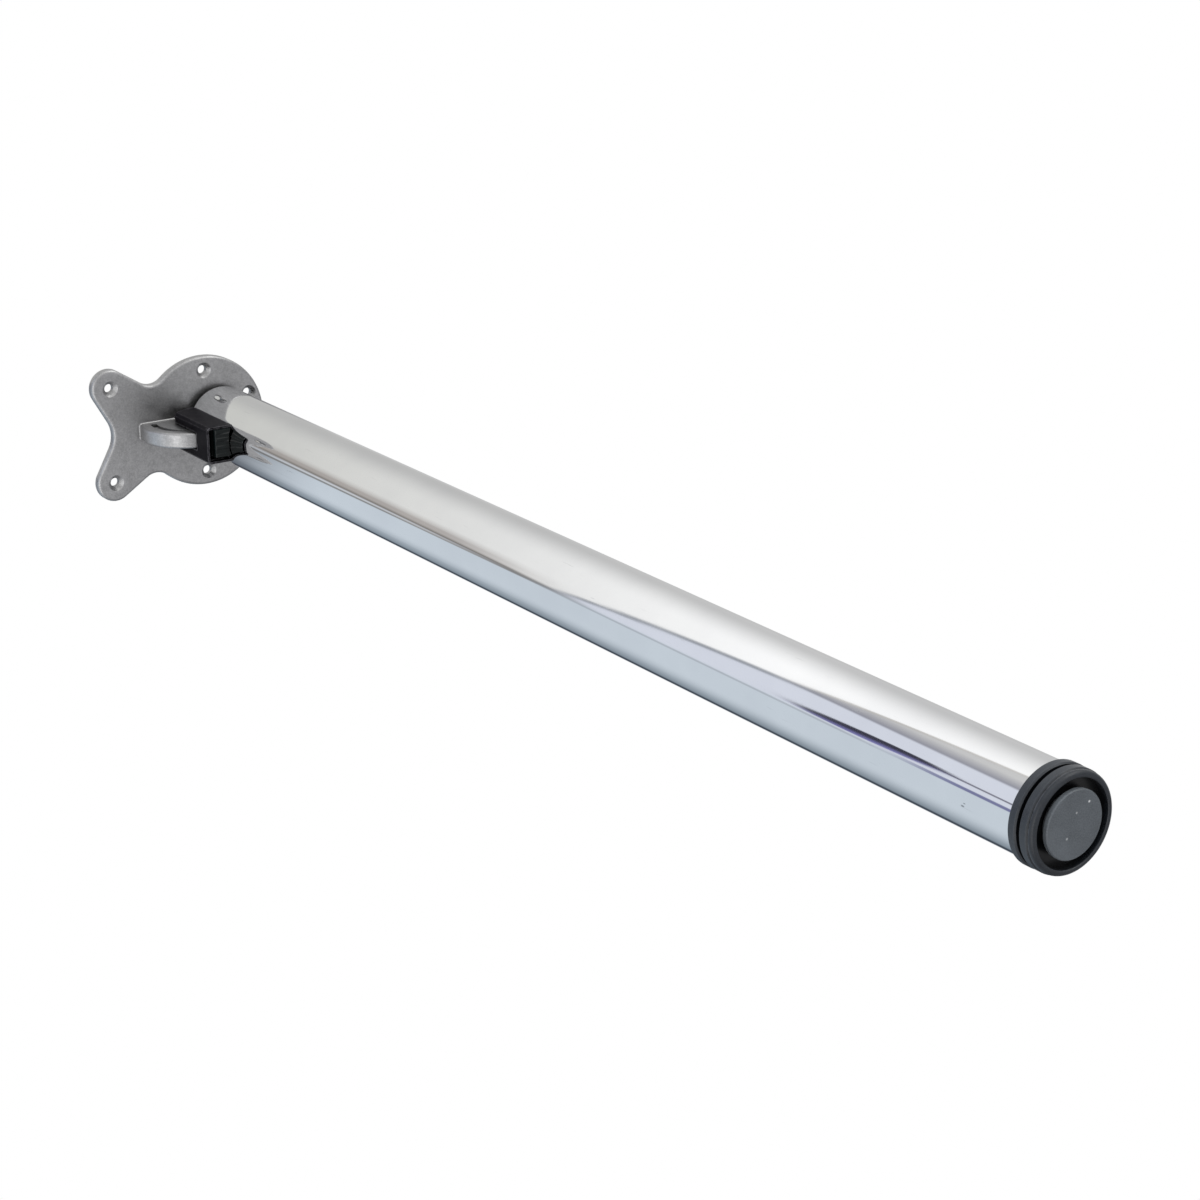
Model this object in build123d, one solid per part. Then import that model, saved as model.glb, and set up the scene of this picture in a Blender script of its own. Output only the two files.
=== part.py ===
from build123d import *
from math import cos, sin, hypot, radians, tan
import os

# Frame: millimetres, the plate's mounting face lies in Z = 0 and the tube's axis is the Z axis.
# The leg hangs towards -Z, the plate's two arms and the folding side are towards +X.

# tube and overall length, with the foot screwed fully in
LEG_LENGTH = 880.0
TUBE_R = 25.0
TUBE_WALL = 1.5
TUBE_BORE_R = TUBE_R - TUBE_WALL
PLUG_FIT = 0.05
CUT_PAST = 1.0

# mounting plate: a disc with two arms, whose ends are round about their screw holes
PLATE_T = 6.0
PLATE_EDGE = 2.2
DISC_X, DISC_R = 10.8, 47.7
ARM_X, ARM_Y, ARM_R = 83.0, 34.5, 13.6
ARM_OUTER_DEG, ARM_INNER_DEG = 32.8, 61.0
ARM_ROOT = 45.0
FLANK_FILLET, CROTCH_FILLET = 13.0, 20.0
HOLE_R, SINK_R, SINK_DEPTH = 3.2, 5.8, 2.8
SIDE_RIM, SIDE_BACK = 10.2, 0.8
REAR_RIM, REAR_Y = 11.9, 15.5
ARM_HOLES = [(ARM_X, s * ARM_Y) for s in (1, -1)]
SIDE_HOLES = [(DISC_X - SIDE_BACK, s * (DISC_R - SIDE_RIM)) for s in (1, -1)]
REAR_HOLES = [(DISC_X - DISC_R + REAR_RIM, s * REAR_Y) for s in (1, -1)]

# tube's end under the plate
PLATE_GAP = 5.0
TUBE_TOP = -PLATE_T - PLATE_GAP

# hinge: the pin's axis runs along Y through PIN_X, PIN_Z of the XZ plane
PIN_OUT, PIN_DOWN = 5.0, 7.0
PIN_X, PIN_Z = TUBE_R + PIN_OUT, TUBE_TOP - PIN_DOWN
PIN_R, PIN_HEAD_R, PIN_HEAD_T, PIN_TAIL = 3.0, 4.2, 1.5, 1.6
RUNNING = 0.05
FIN_R = 34.0
FIN_HALF = 5.5
FIN_END_DEG = 100.0
FIN_EDGE, FIN_ROOT = 1.8, 1.2
SLOT_R = FIN_R + 1.2
SLOT_HALF = FIN_HALF + 0.15
LUG_R = 8.0
LUG_HALF = 10.5
KNUCKLE_X = PIN_X - LUG_R
LUG_ROOT = 16.5
LUG_ROOM_END = PIN_Z - LUG_R - 5.5
CLIP_R, CLIP_T, GROOVE_T, GROOVE_R = 4.2, 0.7, 0.8, 2.4

# latch: angles are seen from the pin, from +X down towards -Z
LOCK_R = 25.0
LOCK_DEG = 78.0
LOCK_PIN_R, LOCK_NECK_R = 2.0, 1.5
TRACK_HALF, TRACK_DEPTH = 2.3, 1.5
PIT_R, PIT_DEPTH = 2.3, 4.7
LATCH_TRAVEL = 3.0

# latch housing
HOUSE_TAIL, HOUSE_OUT, HOUSE_HALF, HOUSE_DROP = 17.0, 15.6, 13.2, 1.5
HOUSE_WALL, HOUSE_SIDE, HOUSE_FLOOR, HOUSE_CHAMFER = 2.4, 2.3, 2.0, 2.0
HOUSE_TOP = TUBE_TOP - HOUSE_DROP
HOUSE_END = PIN_Z - FIN_R - HOUSE_TAIL
HOUSE_X = TUBE_R + HOUSE_OUT
HOUSE_FOOT_X = TUBE_R - 10.0
CAVITY_X0, CAVITY_X1 = TUBE_R + HOUSE_FLOOR, HOUSE_X - HOUSE_WALL
CAVITY_HALF = HOUSE_HALF - HOUSE_SIDE
SADDLE_GAP = 0.03
# the corner next to the plate, kept inside the pin's distance from the plate
NOSE_IN, NOSE_MID, NOSE_DROP, NOSE_END = 6.0, 2.0, 1.8, 6.0
# the wall left over the pin's ends, the gap round them, and the thinner wall at the open end
PIN_COVER, PIN_ROOM = 1.0, 0.6
MOUTH, MOUTH_WALL = 3.6, 1.5
MOUTH_HALF = HOUSE_HALF - MOUTH_WALL
SCREW_R, SCREW_HEAD_R, SCREW_HEAD_T, SCREW_LENGTH = 1.58, 3.0, 1.4, 14.0
SCREW_Y, SCREW_UP = 6.0, 10.0
SCREW_Z = HOUSE_END + SCREW_UP

# hinge block, which reaches past the housing's screws inside the tube
BLOCK_TAIL, BLOCK_HEAD_IN, BLOCK_CORE_R = 10.0, 5.0, 13.0
BLOCK_END = SCREW_Z - BLOCK_TAIL
BLOCK_CORE = BLOCK_TAIL + 5.0

# release slider, latch plate and spring, in the housing's cavity
SLIDE_GAP = 0.1
SLIDER_Y0, SLIDER_Y1 = -CAVITY_HALF + LATCH_TRAVEL + SLIDE_GAP, CAVITY_HALF - SLIDE_GAP
SLIDER_LENGTH, SLIDER_UP = HOUSE_TAIL - 2.5, 2.0
TAB_OUT, TAB_ROOT, TAB_IN = 3.5, 3.2, 2.3
TAB_Y1 = MOUTH_HALF - SLIDE_GAP
RIB_PITCH, RIB_R, RIB_DEPTH = 5.6, 3.6, 0.6
STRAP_T, STRAP_LAP, STRAP_INSET = 2.0, 11.3, 0.4
STRAP_Y1 = CAVITY_HALF - 0.2
STRAP_Y0 = STRAP_Y1 - STRAP_T
STRAP_X0, STRAP_X1 = CAVITY_X0 + 4.4, CAVITY_X1 - STRAP_INSET
WIRE_R, COIL_R, COIL_TURNS, SPRING_IN, SPRING_UP = 0.35, 2.5, 5, 1.0, 6.6
SPRING_X, SPRING_Z = CAVITY_X0 + 4.6, HOUSE_END + SPRING_UP
SPRING_SEAT_R = COIL_R + WIRE_R + 0.55

# foot: three rings under the tube, the first on the socket, the others on the part that turns
SOCKET_FLANGE_R, SOCKET_FLANGE_T = TUBE_R + 2.0, 5.2
FOOT_GAP = 1.8
RING_R, RING_T = TUBE_R + 1.8, 5.7
TREAD_R, TREAD_T, TREAD_GAP, TREAD_WALL = TUBE_R + 1.4, 4.3, 0.5, 3.5
TREAD_IN_R = TREAD_R - TREAD_WALL
# the lip stays this far off the floor, so that the pad alone stands on it
TREAD_LIFT = 0.9
TREAD_OUTER_EDGE, TREAD_INNER_EDGE = 2.5, 0.9
TONGUE_T, TONGUE_H = 1.35, 2.7
PAD_RECESS, PAD_T, PAD_RING_T, PAD_RING_H = 5.0, 2.6, 2.35, 6.6
PAD_R = TREAD_IN_R - PAD_RECESS
SKIRT_R = TUBE_BORE_R - 2.7
SKIRT_WALL = 2.4
SKIRT_GAP = 0.25
BOLT_R, BOLT_FIT = 5.0, 0.03
HEX_FLATS, HEX_HEAD_T, HEX_FIT = 16.0, 6.4, 0.03
HUB_R, HUB_TOP_R, HUB_HEIGHT, PAD_FIT = 11.9, 9.0, 5.0, 0.15
NUT_T = 8.0
FOOT_TRAVEL = 20.0

FOOT_BOTTOM = -LEG_LENGTH
RING_BOTTOM = FOOT_BOTTOM + TREAD_T
RING_TOP = RING_BOTTOM + RING_T
FLANGE_BOTTOM = RING_TOP + FOOT_GAP
TUBE_END = FLANGE_BOTTOM + SOCKET_FLANGE_T

# inside the socket, upwards from the tube's end
SOCKET_BORE, WEB_T, SKIRT_ROOM, CORE_RIB = 21.4, 14.0, 3.0, 1.2
WEB_BOTTOM = TUBE_END + SOCKET_BORE
SOCKET_TOP = WEB_BOTTOM + WEB_T
SKIRT_TOP = WEB_BOTTOM - SKIRT_ROOM
NUT_BOTTOM = WEB_BOTTOM + 0.05
BOLT_TOP = NUT_BOTTOM + NUT_T + FOOT_TRAVEL + 1.0


def rod(x, y, z0, z1, r):
    """A cylinder along Z between two heights."""
    return Pos(x, y, (z0 + z1) / 2) * Cylinder(r, abs(z1 - z0))


def rod_y(x, z, y0, y1, r):
    """A cylinder along Y between two y values."""
    return Pos(x, (y0 + y1) / 2, z) * Rot(90, 0, 0) * Cylinder(r, abs(y1 - y0))


def rod_x(y, z, x0, x1, r):
    """A cylinder along X between two x values."""
    return Pos((x0 + x1) / 2, y, z) * Rot(0, 90, 0) * Cylinder(r, abs(x1 - x0))


def block(x0, x1, y0, y1, z0, z1):
    """A box given by its limits."""
    return Pos((x0 + x1) / 2, (y0 + y1) / 2, (z0 + z1) / 2) * Box(abs(x1 - x0), abs(y1 - y0), abs(z1 - z0))


def side_profile(points, y0, y1):
    """A polygon of (x, z) points given a thickness along Y."""
    face = make_face(Polyline(*[(x, y0, z) for x, z in points], close=True))
    return extrude(face, amount=y1 - y0, dir=(0, 1, 0))


def turned(points):
    """A profile of (radius, z) points revolved about the Z axis."""
    face = make_face(Polyline(*[(r, 0, z) for r, z in points], close=True))
    return revolve(face, Axis.Z)


def hexagon(z0, z1, flats):
    """A hex prism about the Z axis between two heights."""
    return Pos(0, 0, z0) * extrude(RegularPolygon(flats / 2, 6, major_radius=False), z1 - z0)


def polar(radius, deg):
    """A point of the XZ plane at a radius and angle round the hinge pin."""
    return PIN_X + radius * cos(radians(deg)), PIN_Z - radius * sin(radians(deg))


def first_solid(shape):
    """The one solid that a chain of operations leaves."""
    solids = shape.solids()
    assert len(solids) == 1, len(solids)
    return solids[0]


def plate_outline():
    """The disc with two tapering arms, their inner corners rounded."""
    ao, ai = radians(ARM_OUTER_DEG), radians(ARM_INNER_DEG)
    t1 = (ARM_X - ARM_R * sin(ao), ARM_Y + ARM_R * cos(ao))
    t2 = (ARM_X + ARM_R * sin(ai), ARM_Y - ARM_R * cos(ai))
    root = (t1[0] - ARM_ROOT * cos(ao), t1[1] - ARM_ROOT * sin(ao))
    crotch = (t2[0] - t2[1] / tan(ai), 0.0)
    arms = make_face(Polyline((root[0], root[1]), t1, (ARM_X, ARM_Y), t2, crotch, (t2[0], -t2[1]),
                              (ARM_X, -ARM_Y), (t1[0], -t1[1]), (root[0], -root[1]), close=True))
    ends = [Pos(ARM_X, s * ARM_Y) * Circle(ARM_R) for s in (1, -1)]
    outline = Pos(DISC_X, 0) * Circle(DISC_R) + arms + ends[0] + ends[1]
    corner = [v for v in outline.vertices() if hypot(v.X - crotch[0], v.Y) < 0.01]
    outline = fillet(corner, CROTCH_FILLET)
    flank = [v for v in outline.vertices() if abs(hypot(v.X - DISC_X, v.Y) - DISC_R) < 0.01 and v.X > DISC_X]
    return fillet(flank, FLANK_FILLET)


def curved_fin():
    """A disc sector round the pin, cut by its end line, with a rounded rim."""
    end_x, end_z = polar(FIN_R + 4, FIN_END_DEG)
    far_x, far_z = PIN_X + FIN_R + 5, PIN_Z - FIN_R - 5
    sector = side_profile([(KNUCKLE_X, -PLATE_T / 2), (far_x, -PLATE_T / 2), (far_x, far_z), (end_x, far_z),
                           (end_x, end_z), (KNUCKLE_X, PIN_Z)], -FIN_HALF, FIN_HALF)
    fin = rod_y(PIN_X, PIN_Z, -FIN_HALF, FIN_HALF, FIN_R) & sector
    rim = [e for e in fin.edges().filter_by(GeomType.CIRCLE) if abs(e.radius - FIN_R) < 0.01]
    return fillet(rim, FIN_EDGE)


def lock_track():
    """An arc groove in the fin's +Y side, with a deeper pit at each end."""
    reach = 3 * FIN_R
    groove = rod_y(PIN_X, PIN_Z, FIN_HALF - TRACK_DEPTH, FIN_HALF + CUT_PAST, LOCK_R + TRACK_HALF)
    groove -= rod_y(PIN_X, PIN_Z, 0, 2 * FIN_HALF, LOCK_R - TRACK_HALF)
    quarter = [(PIN_X, PIN_Z), polar(reach, LOCK_DEG - 90), polar(2 * reach, LOCK_DEG - 45),
               polar(reach, LOCK_DEG)]
    groove &= side_profile(quarter, 0, 2 * FIN_HALF)
    for deg in (LOCK_DEG, LOCK_DEG - 90):
        x, z = polar(LOCK_R, deg)
        groove += rod_y(x, z, FIN_HALF - PIT_DEPTH, FIN_HALF + CUT_PAST, PIT_R)
    return groove


def plate_casting():
    """Plate, countersunk holes and the curved fin with its lock track, cast in one."""
    plate = Pos(0, 0, -PLATE_T) * extrude(plate_outline(), PLATE_T)
    front = plate.edges().filter_by(lambda e: abs(e.center().Z + PLATE_T) < 0.01)
    plate = fillet(front, PLATE_EDGE)
    for x, y in ARM_HOLES + SIDE_HOLES + REAR_HOLES:
        plate -= rod(x, y, -PLATE_T - CUT_PAST, CUT_PAST, HOLE_R)
        plate -= Pos(x, y, -PLATE_T + SINK_DEPTH / 2) * Rot(180, 0, 0) * Cone(HOLE_R, SINK_R, SINK_DEPTH)
    casting = plate + curved_fin()
    root = [e for e in casting.edges() if abs(e.center().Z + PLATE_T) < 0.02
            and abs(abs(e.center().Y) - FIN_HALF) < 0.3 and e.center().X > KNUCKLE_X]
    casting = fillet(root, FIN_ROOT)
    casting -= rod_y(PIN_X, PIN_Z, -FIN_HALF - CUT_PAST, FIN_HALF + CUT_PAST, PIN_R + RUNNING)
    return first_solid(casting - lock_track())


def tube():
    """Chromed tube, slotted at its upper end for the lugs and the fin."""
    body = rod(0, 0, TUBE_TOP, TUBE_END, TUBE_R) - rod(0, 0, TUBE_TOP + 1, TUBE_END - 1, TUBE_BORE_R)
    for half, low in ((LUG_HALF + 0.2, LUG_ROOM_END), (SLOT_HALF + 0.25, PIN_Z - SLOT_R - 0.4)):
        body -= block(TUBE_R - 15, TUBE_R + 5, -half, half, TUBE_TOP + CUT_PAST, low)
    for s in (1, -1):
        body -= rod_x(s * SCREW_Y, SCREW_Z, TUBE_R - 10, TUBE_R + 5, SCREW_R + 0.22)
    return first_solid(body)


def hinge_block():
    """Die-cast plug in the tube's end, with two lugs and a slot for the fin."""
    plug = rod(0, 0, TUBE_TOP, BLOCK_END, TUBE_BORE_R - PLUG_FIT)
    plug = chamfer(plug.edges().sort_by(Axis.Z)[:1], 1.0)
    head = rod(0, 0, -PLATE_T - 0.02, TUBE_TOP, TUBE_R - BLOCK_HEAD_IN)
    head = chamfer(head.edges().sort_by(Axis.Z)[-1:], 0.8)
    eye = Pos(PIN_X, PIN_Z) * Circle(LUG_R)
    heel = Pos(PIN_X - LUG_ROOT, PIN_Z - LUG_R / 2) * Circle(LUG_R)
    lugs = extrude(Plane.XZ.offset(-LUG_HALF) * make_hull((eye + heel).edges()), 2 * LUG_HALF)
    body = plug + head + lugs
    body -= rod_y(PIN_X, PIN_Z, -SLOT_HALF, SLOT_HALF, SLOT_R - 0.2)
    body -= rod_y(PIN_X, PIN_Z, -LUG_HALF - CUT_PAST, LUG_HALF + CUT_PAST, PIN_R)
    body -= rod(0, 0, BLOCK_END - CUT_PAST, BLOCK_END + BLOCK_CORE, BLOCK_CORE_R)
    for s in (1, -1):
        body -= rod_x(s * SCREW_Y, SCREW_Z, CAVITY_X0 - 18, TUBE_R + 5, SCREW_R + 0.02)
    return first_solid(body)


def hinge_pin():
    """Pin with a domed head on the +Y side and a groove for its clip."""
    shank = rod_y(PIN_X, PIN_Z, -LUG_HALF - PIN_TAIL, LUG_HALF, PIN_R)
    shank = chamfer(shank.edges().sort_by(Axis.Y)[:1], 0.4)
    head = rod_y(PIN_X, PIN_Z, LUG_HALF, LUG_HALF + PIN_HEAD_T, PIN_HEAD_R)
    head = fillet(head.edges().sort_by(Axis.Y)[-1:], 0.6 * PIN_HEAD_T)
    y0 = -LUG_HALF - 0.1 - GROOVE_T
    groove = rod_y(PIN_X, PIN_Z, y0, y0 + GROOVE_T, PIN_R + 1)
    groove -= rod_y(PIN_X, PIN_Z, y0 - 1, y0 + GROOVE_T + 1, GROOVE_R)
    return first_solid(shank + head - groove)


def pin_clip():
    """Open retaining ring in the pin's groove."""
    y0 = -LUG_HALF - 0.1 - (GROOVE_T + CLIP_T) / 2
    ring = rod_y(PIN_X, PIN_Z, y0, y0 + CLIP_T, CLIP_R)
    ring -= rod_y(PIN_X, PIN_Z, y0 - 1, y0 + CLIP_T + 1, GROOVE_R + RUNNING)
    return first_solid(ring - block(PIN_X - CLIP_R - 1, PIN_X, y0 - 1, y0 + CLIP_T + 1,
                                    PIN_Z - 1.5, PIN_Z + 1.5))


def latch_housing():
    """Black moulded cover: open at both ends, slotted for the fin, saddled on the tube."""
    nose = [(HOUSE_X - NOSE_IN, HOUSE_TOP), (HOUSE_X - NOSE_MID, HOUSE_TOP - NOSE_DROP),
            (HOUSE_X, HOUSE_TOP - NOSE_END)]
    shape = side_profile([(HOUSE_FOOT_X, HOUSE_TOP), *nose, (HOUSE_X, HOUSE_END), (HOUSE_FOOT_X, HOUSE_END)],
                         -HOUSE_HALF, HOUSE_HALF)
    outer = shape.edges().filter_by(lambda e: abs(abs(e.center().Y) - HOUSE_HALF) < 0.01
                                    and e.center().X > nose[0][0] and e.center().Z > HOUSE_END + 0.1)
    shape = chamfer(outer, HOUSE_CHAMFER)
    shape -= rod(0, 0, 0, HOUSE_END - CUT_PAST, TUBE_R + SADDLE_GAP)
    low, foot_x = HOUSE_END - CUT_PAST, HOUSE_FOOT_X - CUT_PAST
    shape -= block(CAVITY_X0, CAVITY_X1, -CAVITY_HALF, CAVITY_HALF, 0, low)
    # room for the lugs at the near end, and for the slider's tab at the far end
    shape -= block(foot_x, CAVITY_X1, -CAVITY_HALF, CAVITY_HALF, 0, LUG_ROOM_END)
    shape -= block(foot_x, HOUSE_X - MOUTH_WALL, -MOUTH_HALF, MOUTH_HALF, HOUSE_END + MOUTH, low)
    # grooves inside the side walls, in which the pin's ends slide home
    cover, room = HOUSE_HALF - PIN_COVER, PIN_HEAD_R + PIN_ROOM
    shape -= rod_y(PIN_X, PIN_Z, -cover, cover, room)
    shape -= block(foot_x, PIN_X, -cover, cover, PIN_Z - room, PIN_Z + room)
    # the fin's slot, through the outer wall and the floor
    half = FIN_HALF + 0.9
    shape -= rod_y(PIN_X, PIN_Z, -half, half, SLOT_R + 0.4)
    shape -= block(PIN_X, HOUSE_X + CUT_PAST, -half, half, 0, PIN_Z)
    for s in (1, -1):
        y = s * SCREW_Y
        shape -= rod_x(y, SCREW_Z, HOUSE_FOOT_X, CAVITY_X0 + CUT_PAST, SCREW_R + 0.22)
        sink = Cone(SCREW_R + 0.02, SCREW_HEAD_R + 0.2, 1.5)
        shape -= Pos(CAVITY_X0 - 0.75, y, SCREW_Z) * Rot(0, 90, 0) * sink
    return first_solid(shape)


def housing_screw(side):
    """Countersunk screw through the housing's floor and the tube into the hinge block."""
    y = side * SCREW_Y
    x1 = CAVITY_X0 - 0.1
    head = Rot(0, 90, 0) * Cone(SCREW_R + 0.02, SCREW_HEAD_R, SCREW_HEAD_T)
    head = Pos(x1 - SCREW_HEAD_T / 2, y, SCREW_Z) * head
    shank = rod_x(y, SCREW_Z, x1 - 0.9 - SCREW_LENGTH, x1 - 0.9, SCREW_R)
    drive = block(x1 - 0.5, x1 + 0.1, y - 2, y + 2, SCREW_Z - 0.4, SCREW_Z + 0.4)
    cross = block(x1 - 0.5, x1 + 0.1, y - 0.4, y + 0.4, SCREW_Z - 2, SCREW_Z + 2)
    return first_solid(head + shank - drive - cross)


def release_slider():
    """Black tab and the block behind it, which slides along Y in the housing."""
    inner = block(CAVITY_X0 + 0.2, CAVITY_X1 - 0.8, SLIDER_Y0, SLIDER_Y1,
                  HOUSE_END + SLIDER_LENGTH, HOUSE_END + SLIDER_UP)
    inner = chamfer(inner.edges().filter_by(Axis.Y), 0.8)
    tab = block(TUBE_R - 5, CAVITY_X1 - TAB_IN, SLIDER_Y0, TAB_Y1, HOUSE_END + TAB_ROOT, HOUSE_END - TAB_OUT)
    tab = fillet(tab.edges().filter_by(Axis.Y).sort_by(Axis.X)[-2:], 1.4)
    # its underside clears the tube at both ends of the travel
    for shift in (0, LATCH_TRAVEL):
        tab -= rod(0, shift, HOUSE_END + TAB_ROOT + CUT_PAST, HOUSE_END - TAB_OUT - CUT_PAST, TUBE_R + 0.5)
    for k in (-1, 0, 1):
        y = (SLIDER_Y0 + TAB_Y1) / 2 + k * RIB_PITCH
        tab -= rod_x(y, HOUSE_END - TAB_OUT + RIB_DEPTH - RIB_R, HOUSE_FOOT_X, HOUSE_X, RIB_R)
    # seats for the latch plate and the spring
    strap_end = HOUSE_END + STRAP_LAP - 0.2
    strap_seat = block(STRAP_X0 - 0.2, HOUSE_X, STRAP_Y0 - 0.02, HOUSE_HALF, strap_end, HOUSE_TOP)
    spring_seat = rod_y(SPRING_X, SPRING_Z, SPRING_IN, HOUSE_HALF, SPRING_SEAT_R)
    return first_solid(inner + tab - strap_seat - spring_seat)


def latch_plate():
    """Steel strip set in the slider's side, carrying the lock pin over the fin's track."""
    x, z = polar(LOCK_R, LOCK_DEG)
    strip = block(STRAP_X0, STRAP_X1, STRAP_Y0, STRAP_Y1, z + LOCK_PIN_R + 1.4, HOUSE_END + STRAP_LAP)
    strip = fillet(strip.edges().filter_by(Axis.Y).sort_by(Axis.Z)[-2:], 2.0)
    return first_solid(strip - rod_y(x, z, STRAP_Y0 - CUT_PAST, STRAP_Y1 + CUT_PAST, LOCK_NECK_R))


def lock_pin():
    """Stepped pin riveted in the latch plate, its nose in the fin's track."""
    x, z = polar(LOCK_R, LOCK_DEG)
    nose = rod_y(x, z, FIN_HALF - TRACK_DEPTH + 0.2, STRAP_Y0, LOCK_PIN_R)
    nose = chamfer(nose.edges().sort_by(Axis.Y)[:1], 0.5)
    return first_solid(nose + rod_y(x, z, STRAP_Y0, STRAP_Y1, LOCK_NECK_R))


def latch_spring():
    """Coil spring between the slider's seat and the housing's +Y wall."""
    seat_gap = 0.02
    length = CAVITY_HALF - SPRING_IN - 2 * (WIRE_R + seat_gap)
    path = Helix(pitch=length / COIL_TURNS, height=length, radius=COIL_R)
    wire_face = Plane(path @ 0, z_dir=path % 0) * Circle(WIRE_R)
    coil = sweep(wire_face, path=path, is_frenet=True)
    return first_solid(Pos(SPRING_X, CAVITY_HALF - WIRE_R - seat_gap, SPRING_Z) * Rot(90, 0, 0) * coil)


def foot_socket():
    """Plug in the tube's lower end: the first ring, a bore for the foot's skirt and the nut's web."""
    z0, z1 = FLANGE_BOTTOM, TUBE_END
    plug_r, bore_r, hole_r = TUBE_BORE_R - PLUG_FIT, SKIRT_R + SKIRT_GAP, BOLT_R + 0.4
    body = turned([(bore_r, z0), (SOCKET_FLANGE_R - 0.8, z0), (SOCKET_FLANGE_R, z0 + 0.8),
                   (SOCKET_FLANGE_R, z1 - 0.6), (SOCKET_FLANGE_R - 0.6, z1), (plug_r, z1),
                   (plug_r, SOCKET_TOP - 3), (plug_r - 1, SOCKET_TOP),
                   (hole_r, SOCKET_TOP), (hole_r, WEB_BOTTOM), (bore_r, WEB_BOTTOM)])
    body -= hexagon(WEB_BOTTOM - 0.5, NUT_BOTTOM + NUT_T + 0.1, HEX_FLATS + 0.1)
    # coring between the nut's boss and the wall
    core = rod(0, 0, WEB_BOTTOM + 3, SOCKET_TOP + CUT_PAST, TUBE_BORE_R - 4)
    core -= rod(0, 0, WEB_BOTTOM, SOCKET_TOP + 2, HEX_FLATS / 2 + 4)
    for k in range(3):
        core -= Rot(0, 0, 60 * k) * block(-TUBE_R, TUBE_R, -CORE_RIB, CORE_RIB, WEB_BOTTOM, SOCKET_TOP + 2)
    return first_solid(body - core)


def foot_nut():
    """Hex nut captive in the socket's pocket."""
    nut = hexagon(NUT_BOTTOM, NUT_BOTTOM + NUT_T, HEX_FLATS)
    nut &= Pos(0, 0, NUT_BOTTOM + NUT_T / 2) * Sphere(hypot(HEX_FLATS / 2 + 1, NUT_T / 2))
    return first_solid(nut - rod(0, 0, NUT_BOTTOM - 1, NUT_BOTTOM + NUT_T + 1, BOLT_R + RUNNING))


def foot_bolt():
    """Hex-head bolt fixed in the foot body, running in the nut."""
    z = RING_BOTTOM + 0.1
    shank = rod(0, 0, z + HEX_HEAD_T, BOLT_TOP, BOLT_R)
    shank = chamfer(shank.edges().sort_by(Axis.Z)[-1:], 1.0)
    return first_solid(hexagon(z, z + HEX_HEAD_T, HEX_FLATS) + shank)


def foot_body():
    """The second ring, with a skirt that telescopes in the socket and a hub for the bolt."""
    z0, z1 = RING_BOTTOM, RING_TOP
    bore_r, tongue_r, skirt_in = BOLT_R + BOLT_FIT, TREAD_IN_R + TONGUE_T + 0.05, SKIRT_R - SKIRT_WALL
    body = turned([(bore_r, z0), (HUB_R, z0), (HUB_R, z0 + 2.8), (tongue_r, z0 + 2.8), (tongue_r, z0),
                   (RING_R - 0.8, z0), (RING_R, z0 + 0.8), (RING_R, z1 - 1.0), (RING_R - 1.0, z1),
                   (SKIRT_R, z1), (SKIRT_R, SKIRT_TOP - 1), (SKIRT_R - 0.6, SKIRT_TOP), (skirt_in, SKIRT_TOP),
                   (skirt_in, z1 + 0.6), (HUB_R, z1 + 0.6), (HUB_TOP_R, z1 + HUB_HEIGHT),
                   (bore_r, z1 + HUB_HEIGHT)])
    return first_solid(body - hexagon(z0 - 1, z0 + 0.1 + HEX_HEAD_T, HEX_FLATS + HEX_FIT))


def foot_tread():
    """The third ring with its rounded lip, pushed into the foot body from below."""
    z0, z1 = FOOT_BOTTOM + TREAD_LIFT, RING_BOTTOM
    tongue_r = TREAD_IN_R + TONGUE_T
    lip = turned([(TREAD_IN_R, z0), (TREAD_R, z0), (TREAD_R, z1 - TREAD_GAP), (tongue_r, z1 - TREAD_GAP),
                  (tongue_r, z1 + TONGUE_H), (TREAD_IN_R, z1 + TONGUE_H)])
    for edge_r, round_r in ((TREAD_R, TREAD_OUTER_EDGE), (TREAD_IN_R, TREAD_INNER_EDGE)):
        low = [e for e in lip.edges().filter_by(GeomType.CIRCLE)
               if abs(e.center().Z - z0) < 0.01 and abs(e.radius - edge_r) < 0.01]
        lip = fillet(low, round_r)
    return first_solid(lip)


def foot_pad():
    """Flat disc that stays still on the floor while the foot turns round it."""
    z0 = FOOT_BOTTOM
    ring_r = HUB_R + PAD_FIT
    return first_solid(turned([(0, z0), (PAD_R - 0.5, z0), (PAD_R, z0 + 0.5), (PAD_R, z0 + PAD_T),
                               (ring_r + PAD_RING_T, z0 + PAD_T + 0.4), (ring_r + PAD_RING_T, z0 + PAD_RING_H),
                               (ring_r, z0 + PAD_RING_H), (ring_r, z0 + PAD_T), (0, z0 + PAD_T)]))


PARTS = {
    "plate_casting": plate_casting,
    "tube": tube,
    "hinge_block": hinge_block,
    "hinge_pin": hinge_pin,
    "pin_clip": pin_clip,
    "latch_housing": latch_housing,
    "housing_screw_a": lambda: housing_screw(1),
    "housing_screw_b": lambda: housing_screw(-1),
    "release_slider": release_slider,
    "latch_plate": latch_plate,
    "lock_pin": lock_pin,
    "latch_spring": latch_spring,
    "foot_socket": foot_socket,
    "foot_nut": foot_nut,
    "foot_bolt": foot_bolt,
    "foot_body": foot_body,
    "foot_tread": foot_tread,
    "foot_pad": foot_pad,
}

os.makedirs("parts", exist_ok=True)
for name, make in PARTS.items():
    solid = make()
    export_step(solid, "parts/" + name + ".step")
    print(name, round(solid.volume, 1), "mm3")
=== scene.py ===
"""Height adjustable table leg: its finishes, the studio round it and the camera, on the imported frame.

Metres throughout. The plate's mounting face is at Z = 0, the leg runs down -Z, and the arms reach to +X.
"""

import math

import bpy
import numpy as np
from mathutils import Matrix

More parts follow.
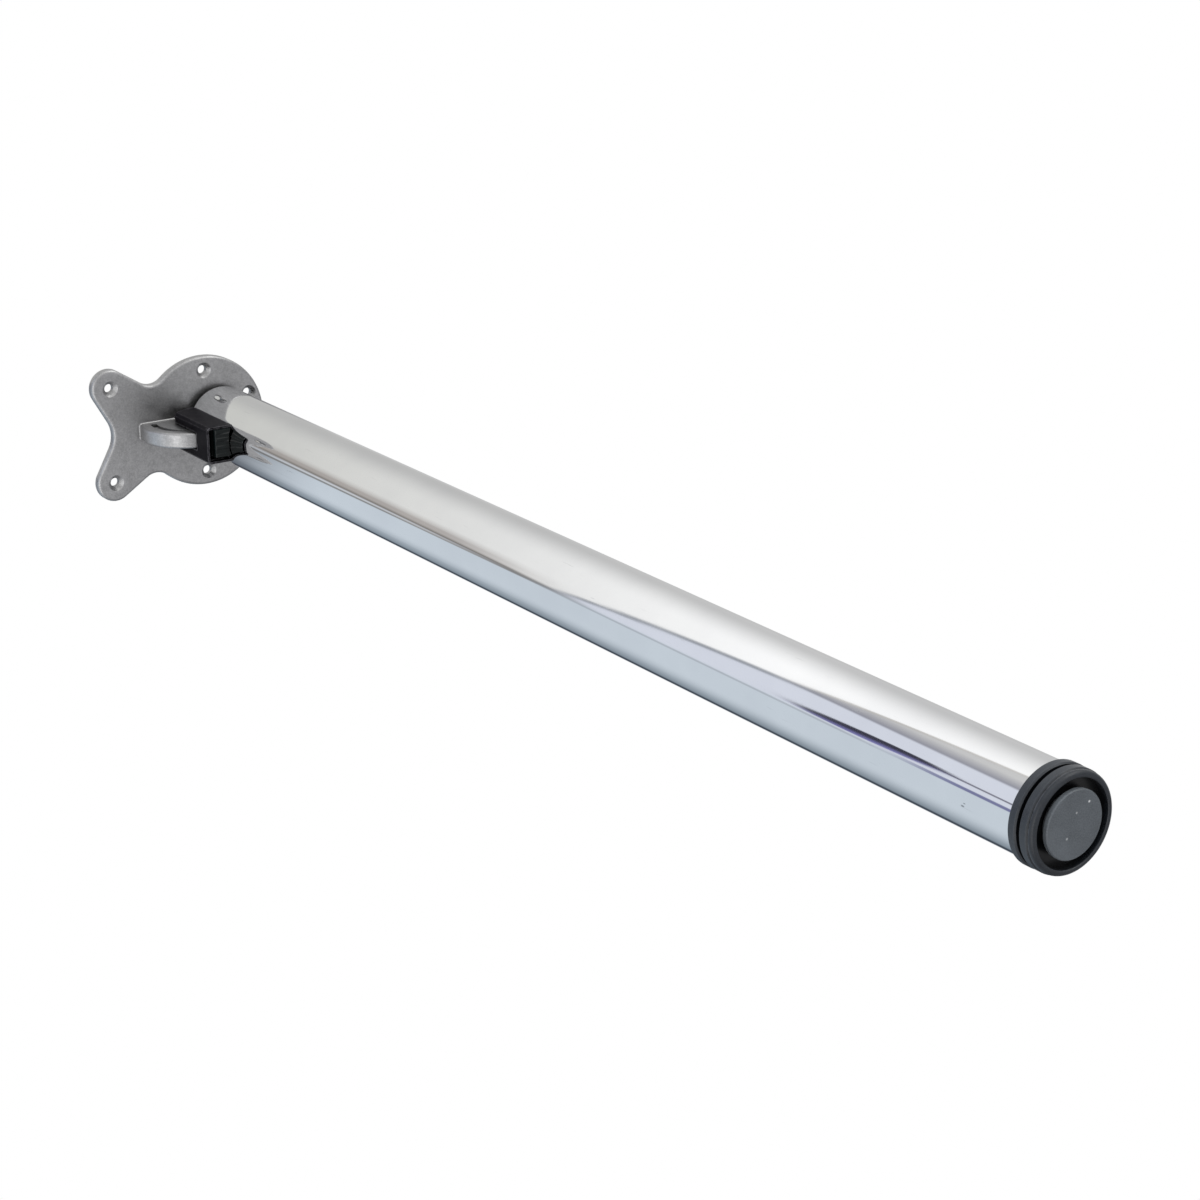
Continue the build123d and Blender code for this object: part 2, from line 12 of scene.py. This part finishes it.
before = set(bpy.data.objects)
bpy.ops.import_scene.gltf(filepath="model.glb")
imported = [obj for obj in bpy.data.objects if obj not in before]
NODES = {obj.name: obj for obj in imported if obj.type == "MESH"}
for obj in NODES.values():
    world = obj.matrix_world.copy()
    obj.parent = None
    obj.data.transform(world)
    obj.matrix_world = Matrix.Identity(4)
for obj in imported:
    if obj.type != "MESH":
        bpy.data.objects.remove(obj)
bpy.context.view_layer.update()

MM = 0.001
LEG_LENGTH = 880 * MM
FOOT_FACE_Z = -LEG_LENGTH

# marks of use: a scuff's place on the tube and length, and a dust speck's x, y, size and strength on the pad
SCUFFS = (((24.9 * MM, -1.9 * MM, -830.4 * MM), 1.7 * MM),
          ((24.95 * MM, -0.2 * MM, -831.6 * MM), 1.1 * MM))
SCUFF_SQUEEZE = (1.0, 2.6, 1.0)
SCUFF_STRENGTH = 0.75
PAD_SPECKS = ((-8.5 * MM, 10.0 * MM, 0.9 * MM, 0.9),
              (-0.7 * MM, 6.1 * MM, 0.8 * MM, 0.45),
              (4.7 * MM, -5.9 * MM, 0.9 * MM, 0.45))

# directions in the studio, in degrees: turn goes about Z from +X, and rise goes up from the horizon
SEAM_TURN, SEAM_TOP = 1.0, 52.0
SEAM_LEAN, SEAM_RATE = 63.0, 0.25
SPLIT_TURN, SPLIT_DROP = 47.5, 5.3
SPLIT_LEAN, SPLIT_RATE = 50.0, 0.22
DARK_TURN, DARK_RISE = 10.5, 44.2
DARK_WIDTH, DARK_HEIGHT, DARK_SLANT = 7.8, 1.95, 2.4
SOFT_BOX_TURN = -16.0

# the floor fades out between two distances from the frame's origin
FLOOR_RADIUS, FLOOR_RINGS, FLOOR_SPOKES = 3.0, 12, 96
FLOOR_Z = FOOT_FACE_Z - 0.4 * MM
FLOOR_FADE = (1.6, 2.9)

# the camera's place, the turn and rise that it looks along, and its roll about that line, in degrees
CAMERA_PLACE = (0.8108, 0.5006, -1.6644)
CAMERA_TURN, CAMERA_RISE, CAMERA_ROLL = -148.296, 50.893, -64.582
LENS, SENSOR = 77.97, 36.0

# small helpers for node trees


class Tree:
    """A node tree with short calls. A value may be a number, a colour or another node's output."""

    def __init__(self, tree):
        self.nodes, self.links = tree.nodes, tree.links

    def node(self, kind, inputs=(), **settings):
        made = self.nodes.new(kind)
        for name, value in settings.items():
            setattr(made, name, value)
        for key, value in dict(inputs).items():
            if isinstance(value, bpy.types.NodeSocket):
                self.links.new(value, made.inputs[key])
            else:
                made.inputs[key].default_value = value
        return made

    def math(self, operation, *values):
        return self.node("ShaderNodeMath", dict(enumerate(values)), operation=operation).outputs[0]

    def plus(self, a, b):
        return self.math("ADD", a, b)

    def minus(self, a, b):
        return self.math("SUBTRACT", a, b)

    def times(self, a, b):
        return self.math("MULTIPLY", a, b)

    def over(self, a, b):
        return self.math("DIVIDE", a, b)

    def vector(self, operation, *values):
        return self.node("ShaderNodeVectorMath", dict(enumerate(values)), operation=operation).outputs

    def step(self, value, low, high, start=0.0, end=1.0):
        """Goes smoothly from start to end while value goes from low to high."""
        return self.node("ShaderNodeMapRange", {0: value, 1: low, 2: high, 3: start, 4: end},
                         interpolation_type="SMOOTHSTEP").outputs[0]

    def ramp(self, value, low, high, start=0.0, end=1.0):
        """Goes straight from start to end while value goes from low to high."""
        return self.node("ShaderNodeMapRange", {0: value, 1: low, 2: high, 3: start, 4: end}).outputs[0]

    def mix(self, factor, a, b):
        """Colour a at factor 0 and colour b at factor 1."""
        made = self.node("ShaderNodeMix", {0: factor}, data_type="RGBA")
        for socket, value in ((made.inputs[6], a), (made.inputs[7], b)):
            if isinstance(value, bpy.types.NodeSocket):
                self.links.new(value, socket)
            else:
                socket.default_value = tuple(value)[:3] + (1.0,)
        return made.outputs[2]

    def noise(self, where, scale, detail=2.0, rough=0.5, stretch=None):
        """Cloudy noise about 0.5, of scale patches to the metre. A stretch below 1 draws it out that way."""
        if stretch:
            where = self.node("ShaderNodeMapping", {"Vector": where, "Scale": stretch}).outputs[0]
        return self.node("ShaderNodeTexNoise", {"Vector": where, "Scale": scale, "Detail": detail,
                                                "Roughness": rough}).outputs[0]

    def chart(self, value, low, high, stops):
        """A colour read off a list of (value, colour) stops, straight between them."""
        ramp = self.node("ShaderNodeValToRGB", {0: self.ramp(value, low, high)})
        entries = ramp.color_ramp.elements
        entries.remove(entries[1])
        entries[0].position = (stops[0][0] - low) / (high - low)
        entries[0].color = tuple(stops[0][1]) + (1.0,)
        for at, colour in stops[1:]:
            entries.new((at - low) / (high - low)).color = tuple(colour) + (1.0,)
        return ramp.outputs[0]


def new_finish(name):
    """A material with a plain Principled shader, and the object coordinates that its patterns read."""
    material = bpy.data.materials.new(name)
    material.use_nodes = True
    material.node_tree.nodes.clear()
    t = Tree(material.node_tree)
    shader = t.node("ShaderNodeBsdfPrincipled")
    t.node("ShaderNodeOutputMaterial", {"Surface": shader.outputs[0]})
    where = t.node("ShaderNodeTexCoord").outputs["Object"]
    return material, t, shader, where


def connect(t, shader, colour, rough, bump_strength, bump_depth, height):
    """Links the colour, the roughness and a bump of that depth to the shader."""
    bump = t.node("ShaderNodeBump", {"Strength": bump_strength, "Distance": bump_depth, "Height": height})
    t.links.new(colour, shader.inputs["Base Color"])
    t.links.new(rough, shader.inputs["Roughness"])
    t.links.new(bump.outputs[0], shader.inputs["Normal"])


def dress(material, *names):
    """Gives the material to those nodes."""
    for name in names:
        mesh = NODES[name].data
        mesh.materials.clear()
        mesh.materials.append(material)


def outward_corners(t, reach, low=0.30, high=0.75):
    """1 along outward corners and 0 on flats: how soon a short ray inside the solid comes out again."""
    inside = t.node("ShaderNodeAmbientOcclusion", {"Distance": reach}, samples=6, inside=True).outputs["AO"]
    return t.step(inside, high, low)


def corner_shade(t, reach, low=0.25, high=0.85):
    """1 deep in inward corners and 0 in the open."""
    # the mask that lays painted shade into inward corners and hollows
    open_sky = t.node("ShaderNodeAmbientOcclusion", {"Distance": reach}, samples=6).outputs["AO"]
    return t.step(open_sky, high, low)


# finishes


def cast_alloy(name, tone, rough_low, rough_high):
    """Sand-blasted die-cast alloy.

    Colour: a cloud of two greys, darker where the mottle is high and paler where the fine grain is high, then
    painted shade, dark in wide hollows (38 mm) and in corners (6 mm), then pale along outward corners where a
    patchy noise lets it. Tone multiplies every grey. Roughness goes with the mottle, less on the rubbed
    corners. Bump: the mottle plus 0.6 of the grain.
    """
    material, t, shader, where = new_finish(name)
    cloud = t.noise(where, 30, 3, 0.6)
    mottle = t.noise(where, 240, 4, 0.65)
    grain = t.noise(where, 900, 3, 0.7)
    pale_edges = t.times(outward_corners(t, 1.6 * MM), t.step(t.noise(where, 420, 2), 0.22, 0.58))
    tight_shade = corner_shade(t, 6 * MM)
    shade = corner_shade(t, 38 * MM)

    def grey(level, blue=1.01):
        return (level * tone, level * tone, level * tone * blue)

    colour = t.mix(t.ramp(cloud, 0.3, 0.7), grey(0.40), grey(0.52))
    colour = t.mix(t.ramp(mottle, 0.38, 0.62, 0.0, 0.45), colour, grey(0.31))
    colour = t.mix(t.ramp(grain, 0.42, 0.62, 0.0, 0.40), colour, grey(0.66))
    # painted shade: darker in wide hollows round the tube and in tight corners
    colour = t.mix(t.times(shade, 0.35), colour, grey(0.16))
    colour = t.mix(t.times(tight_shade, 0.60), colour, grey(0.12, 0.96))
    colour = t.mix(t.times(pale_edges, 0.70), colour, grey(0.82))
    rough = t.minus(t.ramp(mottle, 0.35, 0.65, rough_low, rough_high), t.times(pale_edges, 0.10))
    height = t.plus(t.times(grain, 0.6), mottle)
    shader.inputs["Metallic"].default_value = 1.0
    connect(t, shader, colour, rough, 0.6, 0.10 * MM, height)
    return material


def mirror_chrome():
    """Bright chrome on a drawn tube.

    Colour: a haze of two pale greys, greyer on sparse hairlines drawn out along the tube, and dark on the
    scuffs, each an oval that fades with its distance. Roughness: 0.030 to 0.055 with the haze, more on the
    hairlines. Bump: slow ripples plus a tenth of fine lines, both drawn out along the tube.
    """
    material, t, shader, where = new_finish("mirror_chrome")
    haze = t.noise(where, 22, 3, 0.6)
    drawn = t.noise(where, 260, 2, 0.5, stretch=(1.0, 1.0, 0.012))
    ripple = t.noise(where, 46, 2, 0.5, stretch=(1.0, 1.0, 0.10))
    colour = t.mix(t.ramp(haze, 0.3, 0.7), (0.80, 0.805, 0.815), (0.845, 0.85, 0.855))
    hair = t.step(t.noise(where, 900, 1, 0.5, stretch=(1.0, 1.0, 0.05)), 0.73, 0.80)
    colour = t.mix(t.times(hair, 0.25), colour, (0.55, 0.55, 0.56))
    rough = t.plus(t.ramp(haze, 0.3, 0.7, 0.030, 0.055), t.times(hair, 0.08))
    for place, length in SCUFFS:
        away = t.vector("SUBTRACT", where, place)[0]
        away = t.vector("MULTIPLY", away, SCUFF_SQUEEZE)[0]
        away = t.vector("LENGTH", away)["Value"]
        colour = t.mix(t.step(away, length, length * 0.4, 0.0, SCUFF_STRENGTH), colour, (0.20, 0.20, 0.21))
    height = t.plus(t.times(drawn, 0.10), ripple)
    shader.inputs["Metallic"].default_value = 1.0
    connect(t, shader, colour, rough, 0.20, 0.03 * MM, height)
    return material


def zinc_steel():
    """Zinc-plated steel of the small turned and stamped parts.

    Colour: a cloud of two greys, paler along outward corners. Roughness: 0.22 to 0.36 with the cloud. Bump:
    fine tool lines drawn out along Y.
    """
    material, t, shader, where = new_finish("zinc_steel")
    cloud = t.noise(where, 300, 3, 0.6)
    lines = t.noise(where, 1800, 2, 0.5, stretch=(1.0, 0.06, 1.0))
    pale_edges = outward_corners(t, 0.5 * MM)
    colour = t.mix(t.ramp(cloud, 0.3, 0.7), (0.55, 0.55, 0.56), (0.68, 0.68, 0.67))
    colour = t.mix(t.times(pale_edges, 0.5), colour, (0.82, 0.82, 0.82))
    shader.inputs["Metallic"].default_value = 1.0
    connect(t, shader, colour, t.ramp(cloud, 0.3, 0.7, 0.22, 0.36), 0.3, 0.02 * MM, lines)
    return material


def moulded_plastic(name, base, pale, rough_low, rough_high, grain_size, grain_depth, shine, dust=0.0,
                    reach=0.8 * MM, rub_and_highlight=0.55, hollow=5 * MM, specks=()):
    """Moulded plastic.

    Colour: a cloud of 0.8 to 1.2 times the base, paler where the spark-eroded grain is high, nearly black in
    hollows as painted shade, then pale along outward corners where a patchy noise lets it, partly rubbed wear
    and partly a painted highlight along the edges, then fine dust, then the single specks on the foot's face.
    Roughness goes with the cloud, less on the rubbed corners. Bump: the grain.
    """
    material, t, shader, where = new_finish(name)

    def times_base(factor):
        return tuple(c * factor for c in base)

    cloud = t.noise(where, 70, 3, 0.6)
    grain = t.noise(where, 1 / grain_size, 2, 0.6)
    # pale outward corners: partly rubbed wear, partly a painted highlight along the edges
    pale_edges = t.times(outward_corners(t, reach, 0.60, 0.95), t.step(t.noise(where, 350, 2), 0.25, 0.60))
    colour = t.mix(t.ramp(cloud, 0.3, 0.7), times_base(0.8), times_base(1.2))
    colour = t.mix(t.ramp(grain, 0.35, 0.65, 0.0, 0.5), colour, times_base(1.7))
    # painted shade: nearly black in hollows such as the foot's groove
    colour = t.mix(t.times(corner_shade(t, hollow, 0.52, 0.90), 0.96), colour, times_base(0.08))
    colour = t.mix(t.times(pale_edges, rub_and_highlight), colour, pale)
    if dust:
        speck = t.step(t.noise(where, 1100, 2, 0.7), 0.68, 0.78)
        colour = t.mix(t.times(speck, dust), colour, (0.25, 0.25, 0.26))
    for x, y, size, strength in specks:
        away = t.vector("DISTANCE", where, (x, y, FOOT_FACE_Z))["Value"]
        colour = t.mix(t.step(away, size, size * 0.3, 0.0, strength), colour, (0.62, 0.63, 0.64))
    rough = t.minus(t.ramp(cloud, 0.3, 0.7, rough_low, rough_high), t.times(pale_edges, 0.10))
    shader.inputs["Specular IOR Level"].default_value = shine
    connect(t, shader, colour, rough, 0.6, grain_depth, grain)
    return material


dress(cast_alloy("satin_casting", 1.0, 0.34, 0.46), "plate_casting")
# the hinge block gets the same casting at a sixth of its tone: painted shade, as it sits deep in the gap
# under the tube
dress(cast_alloy("shaded_casting", 0.16, 0.50, 0.62), "hinge_block")
dress(mirror_chrome(), "tube")
dress(zinc_steel(), "hinge_pin", "pin_clip", "housing_screw_a", "housing_screw_b", "latch_plate", "lock_pin",
      "latch_spring", "foot_nut", "foot_bolt")
# the latch housing's wide, strong pale edges are a painted highlight along its chamfers, partly rubbed wear
dress(moulded_plastic("housing_plastic", (0.0036, 0.0031, 0.0046), (0.13, 0.127, 0.14), 0.28, 0.42, 0.5 * MM,
                      0.03 * MM, 0.04, dust=0.10, reach=1.0 * MM, rub_and_highlight=0.65), "latch_housing")
dress(moulded_plastic("slider_plastic", (0.003, 0.005, 0.005), (0.05, 0.06, 0.06), 0.07, 0.16, 2.5 * MM,
                      0.01 * MM, 0.30, dust=0.04, reach=0.3 * MM, rub_and_highlight=0.4), "release_slider")
dress(moulded_plastic("ring_plastic", (0.021, 0.025, 0.031), (0.12, 0.125, 0.14), 0.26, 0.38, 0.6 * MM,
                      0.03 * MM, 0.40, dust=0.10, hollow=8 * MM), "foot_socket", "foot_body")
dress(moulded_plastic("tread_plastic", (0.015, 0.018, 0.023), (0.10, 0.105, 0.12), 0.24, 0.36, 0.7 * MM,
                      0.04 * MM, 0.42, dust=0.10, hollow=8 * MM), "foot_tread")
dress(moulded_plastic("pad_plastic", (0.082, 0.092, 0.103), (0.12, 0.125, 0.135), 0.40, 0.52, 0.7 * MM,
                      0.03 * MM, 0.35, rub_and_highlight=0.15, hollow=2 * MM, specks=PAD_SPECKS), "foot_pad")


# studio


class Studio(Tree):
    """The room's node tree, with the turn and rise of the direction that is looked in, both in degrees."""

    def __init__(self, tree):
        super().__init__(tree)
        way = self.node("ShaderNodeTexCoord").outputs["Generated"]
        xyz = self.node("ShaderNodeSeparateXYZ", {0: way}).outputs
        self.turn = self.math("DEGREES", self.math("ARCTAN2", xyz[1], xyz[0]))
        self.rise = self.math("DEGREES", self.math("ARCSINE", xyz[2]))

    def line(self, middle, half, depth, core=0.3):
        """Depth within half * core degrees of the middle turn, then smoothly down to 0 at half degrees."""
        off = self.math("ABSOLUTE", self.minus(self.turn, middle))
        return self.step(off, half, half * core, 0.0, depth)

    def band(self, low, high, soft=1.0):
        """1 between two rises and 0 beyond them, with smooth edges twice the soft angle wide."""
        return self.times(self.step(self.rise, low - soft, low + soft),
                          self.step(self.rise, high + soft, high - soft))


def cool_panel(t):
    """The panel over the -Y side: one tone that falls off past -Y, bluer next to its edge and dim at the top.

    Past its far side come a dark gap, a white rim and the wall.
    """
    colour = t.mix(t.step(t.turn, -112.0, -52.0), (0.25, 0.30, 0.35), (0.64, 0.71, 0.78))
    colour = t.mix(t.line(-121.0, 15.0, 0.92), colour, (0.04, 0.05, 0.07))
    colour = t.mix(t.step(t.turn, -129.0, -139.0), colour, (0.96, 0.97, 0.98))
    colour = t.mix(t.step(t.turn, -146.0, -152.0), colour, (0.58, 0.58, 0.58))
    colour = t.mix(t.step(t.turn, -6.0, 5.0), colour, (0.755, 0.79, 0.885))
    return t.mix(t.step(t.rise, 57.4, 60.6, 0.0, 0.9), colour, (0.06, 0.06, 0.075))


def warm_panel(t):
    """The panel over the +Y side: greyer high up, white lower down, and falling off round its far side."""
    high = t.mix(t.step(t.turn, 65.0, 145.0), (0.66, 0.66, 0.63), (0.52, 0.52, 0.51))
    low = t.mix(t.step(t.turn, 75.0, 165.0), (1.15, 1.15, 1.15), (0.62, 0.62, 0.62))
    return t.mix(t.ramp(t.rise, 47.0, 60.0), low, high)


def panel_edges(t):
    """The turns of the leaning edge and of edges a and b, which part from it, at each rise.

    The leaning edge stands at SEAM_TURN down to SEAM_TOP. Below that it leans by
    SEAM_LEAN * (1 - exp(-SEAM_RATE * drop)), where drop is how far the rise is below SEAM_TOP. Edge a follows
    it and stops at SPLIT_TURN. Edge b leans on from there, by the same formula with the SPLIT values.
    """
    drop = t.math("MAXIMUM", t.minus(SEAM_TOP, t.rise), 0.0)
    fade = t.math("EXPONENT", t.times(drop, -SEAM_RATE))
    lean = t.plus(SEAM_TURN, t.times(SEAM_LEAN, t.minus(1.0, fade)))
    edge_a = t.math("MINIMUM", lean, SPLIT_TURN)
    split_fade = t.math("EXPONENT", t.times(t.minus(drop, SPLIT_DROP), -SPLIT_RATE))
    branch = t.plus(SPLIT_TURN, t.times(t.minus(1.0, split_fade), SPLIT_LEAN))
    return lean, edge_a, t.math("MAXIMUM", edge_a, branch)


def panels(t, edge_a, edge_b):
    """The cool panel up to edge a, the warm one past edge b, and a grey gradient between the two edges."""
    past_a = t.minus(t.turn, edge_a)
    past_b = t.minus(t.turn, edge_b)
    between = t.mix(t.ramp(past_a, 2.0, 22.0), (0.34, 0.345, 0.40), (0.66, 0.66, 0.66))
    colour = t.mix(t.step(past_a, -3.0, 3.0), cool_panel(t), between)
    return t.mix(t.step(past_b, -2.0, 2.0), colour, warm_panel(t))


def streaks(t, colour, lean, edge_b):
    """The colour with soft streaks on it, each a tint laid on about a turn and kept between two rises.

    High up are a broad and two slim brownish ones and a pale one. Below them one follows the leaning edge,
    one follows edge b and one stands upright, and lowest are two inky ones.
    """
    brown, grey, ink = (0.17, 0.155, 0.14), (0.26, 0.28, 0.32), (0.09, 0.09, 0.27)
    aslant = t.minus(t.rise, SEAM_TOP)
    slim_a = t.plus(2.0, t.times(aslant, 0.4))
    slim_b = t.minus(-1.5, t.times(aslant, 1.2))
    for tint, line, band in (
            ((0.27, 0.22, 0.20), (12.0, 22.0, 0.60, 0.1), (53.0, 64.0, 2.0)),
            (brown, (slim_a, 5.5, 0.80, 0.15), (52.0, 64.0, 1.5)),
            (brown, (slim_b, 4.2, 0.76), (51.8, 64.0)),
            ((0.80, 0.79, 0.78), (-3.5, 3.0, 0.40), (54.0, 64.0, 1.5)),
            (grey, (lean, 6.5, 0.85, 0.2), (46.2, 51.8)),
            ((0.55, 0.53, 0.50), (edge_b, 3.2, 0.75), (20.0, 46.0, 0.8)),
            (grey, (-3.5, 3.4, 0.42), (44.0, 52.0)),
            (ink, (-1.0, 4.6, 0.80, 0.45), (30.0, 43.2)),
            ((0.05, 0.04, 0.08), (13.5, 2.6, 0.75), (30.0, 42.8, 0.6))):
        colour = t.mix(t.times(t.line(*line), t.band(*band)), colour, tint)
    return colour


def dark_oval(t, colour):
    """The colour with a small dark oval on it, which slants and is violet on one side."""
    middle = t.plus(DARK_TURN, t.times(t.minus(DARK_RISE, t.rise), DARK_SLANT))
    across = t.over(t.minus(t.turn, middle), DARK_WIDTH)
    along = t.over(t.minus(t.rise, DARK_RISE), DARK_HEIGHT)
    far = t.math("SQRT", t.plus(t.times(across, across), t.times(along, along)))
    dark = t.mix(t.step(across, -1.0, 0.3), (0.20, 0.19, 0.48), (0.012, 0.010, 0.030))
    return t.mix(t.step(far, 1.12, 0.80, 0.0, 0.95), colour, dark)


def lower_room(t, colour):
    """The colour high up, going over round the horizon into a list of greys by turn.

    They are bright towards +Y, where the key lamp is, and dim towards -Y. A soft box hangs at SOFT_BOX_TURN
    below the horizon, and straight down is an even grey.
    """
    low = t.chart(t.turn, -180, 180, (
        (-180, (0.34, 0.34, 0.35)), (-150, (0.30, 0.30, 0.31)), (-110, (0.26, 0.26, 0.27)),
        (-75, (0.40, 0.41, 0.43)), (-45, (0.72, 0.73, 0.75)), (-15, (0.98, 0.98, 0.99)),
        (10, (1.08, 1.08, 1.08)), (28, (0.62, 0.62, 0.62)), (48, (0.80, 0.80, 0.79)),
        (85, (1.05, 1.05, 1.04)), (110, (1.15, 1.15, 1.13)), (123, (2.60, 2.60, 2.55)),
        (136, (1.80, 1.80, 1.77)), (150, (0.60, 0.60, 0.60)), (172, (0.34, 0.34, 0.35))))
    colour = t.mix(t.step(t.rise, 14.0, -6.0), colour, low)
    off_box = t.math("ABSOLUTE", t.minus(t.turn, SOFT_BOX_TURN))
    soft_box = t.times(t.step(off_box, 62.0, 26.0), t.band(-50.0, -26.0, 6.0))
    colour = t.mix(soft_box, colour, (2.20, 2.20, 2.19))
    return t.mix(t.step(t.rise, -24.0, -58.0), colour, (0.60, 0.60, 0.61))


def studio_world():
    """The room: white to the camera, and otherwise a studio that depends on the direction alone."""
    world = bpy.data.worlds.new("studio")
    world.use_nodes = True
    world.node_tree.nodes.clear()
    t = Studio(world.node_tree)
    lean, edge_a, edge_b = panel_edges(t)
    colour = streaks(t, panels(t, edge_a, edge_b), lean, edge_b)
    colour = lower_room(t, dark_oval(t, colour))
    room = t.node("ShaderNodeBackground", {"Color": colour, "Strength": 1.0}).outputs[0]
    white = t.node("ShaderNodeBackground", {"Color": (1.0, 1.0, 1.0, 1.0), "Strength": 1.0}).outputs[0]
    path = t.node("ShaderNodeLightPath").outputs
    show = t.node("ShaderNodeMixShader", {0: path["Is Camera Ray"], 1: room, 2: white}).outputs[0]
    t.node("ShaderNodeOutputWorld", {0: show})
    bpy.context.scene.world = world


def pale_floor():
    """A round pale floor under the foot, seen from above only, that fades out at its rim."""
    turn = np.linspace(0, 2 * math.pi, FLOOR_SPOKES, endpoint=False)
    reach = np.linspace(FLOOR_RADIUS / FLOOR_RINGS, FLOOR_RADIUS, FLOOR_RINGS)
    level = np.full((FLOOR_RINGS, FLOOR_SPOKES), FLOOR_Z)
    rings = np.stack([np.outer(reach, np.cos(turn)), np.outer(reach, np.sin(turn)), level], -1).reshape(-1, 3)
    points = np.vstack([[0, 0, FLOOR_Z], rings])
    a = np.arange(FLOOR_SPOKES)
    b = (a + 1) % FLOOR_SPOKES
    faces = [(0, 1 + i, 1 + j) for i, j in zip(a, b)]
    for k in range(FLOOR_RINGS - 1):
        inner, outer = 1 + k * FLOOR_SPOKES, 1 + (k + 1) * FLOOR_SPOKES
        faces += [(inner + i, outer + i, outer + j, inner + j) for i, j in zip(a, b)]
    mesh = bpy.data.meshes.new("floor")
    mesh.from_pydata(points.tolist(), [], faces)
    floor = bpy.data.objects.new("floor", mesh)
    bpy.context.scene.collection.objects.link(floor)

    material = bpy.data.materials.new("floor_paper")
    material.use_nodes = True
    material.node_tree.nodes.clear()
    t = Tree(material.node_tree)
    where = t.node("ShaderNodeTexCoord").outputs["Object"]
    away = t.vector("LENGTH", where)["Value"]
    paper = t.node("ShaderNodeBsdfDiffuse", {"Color": (0.93, 0.93, 0.93, 1)}).outputs[0]
    clear = t.node("ShaderNodeBsdfTransparent").outputs[0]
    under = t.node("ShaderNodeNewGeometry").outputs["Backfacing"]
    hidden = t.math("MAXIMUM", under, t.step(away, *FLOOR_FADE))
    show = t.node("ShaderNodeMixShader", {0: hidden, 1: paper, 2: clear}).outputs[0]
    t.node("ShaderNodeOutputMaterial", {0: show})
    mesh.materials.append(material)
    floor.visible_shadow = False
    floor.visible_diffuse = False
    floor.visible_glossy = False
    floor.visible_transmission = False


def lamp(name, direction, strength, spread):
    """A soft lamp far away in that direction. Metal doesn't mirror it: the room has that light already."""
    data = bpy.data.lights.new(name, "SUN")
    data.energy, data.angle = strength, math.radians(spread)
    made = bpy.data.objects.new(name, data)
    bpy.context.scene.collection.objects.link(made)
    z = np.array(direction, float) / np.linalg.norm(direction)
    x = np.cross((0.0, 0.0, 1.0) if abs(z[2]) < 0.9 else (1.0, 0.0, 0.0), z)
    x /= np.linalg.norm(x)
    turn = Matrix(np.column_stack([x, np.cross(z, x), z]).tolist())
    made.matrix_world = turn.to_4x4()
    made.visible_glossy = False


studio_world()
pale_floor()
lamp("key", (0.35, 1.0, -0.25), 1.5, 30)
lamp("fill", (-0.1, 0.75, -0.66), 0.25, 50)
lamp("overhead", (0.3, -0.2, 1.0), 0.4, 35)


# camera


def aimed(place, turn, rise, roll):
    """The matrix of a camera at a place that looks along turn and rise, rolled about that line.

    A camera looks down its own -Z. So it is rolled about Z, tipped about X by rise + 90 degrees, turned
    about Z by turn - 90 degrees, and then moved to its place.
    """
    rolled = Matrix.Rotation(math.radians(roll), 4, "Z")
    tipped = Matrix.Rotation(math.radians(rise + 90.0), 4, "X")
    turned = Matrix.Rotation(math.radians(turn - 90.0), 4, "Z")
    return Matrix.Translation(place) @ turned @ tipped @ rolled


camera_data = bpy.data.cameras.new("camera")
camera_data.lens = LENS
camera_data.sensor_width = SENSOR
camera_data.clip_start, camera_data.clip_end = 0.01, 50.0
camera = bpy.data.objects.new("camera", camera_data)
bpy.context.scene.collection.objects.link(camera)
camera.matrix_world = aimed(CAMERA_PLACE, CAMERA_TURN, CAMERA_RISE, CAMERA_ROLL)
bpy.context.scene.camera = camera

bpy.context.scene.view_settings.view_transform = "Standard"
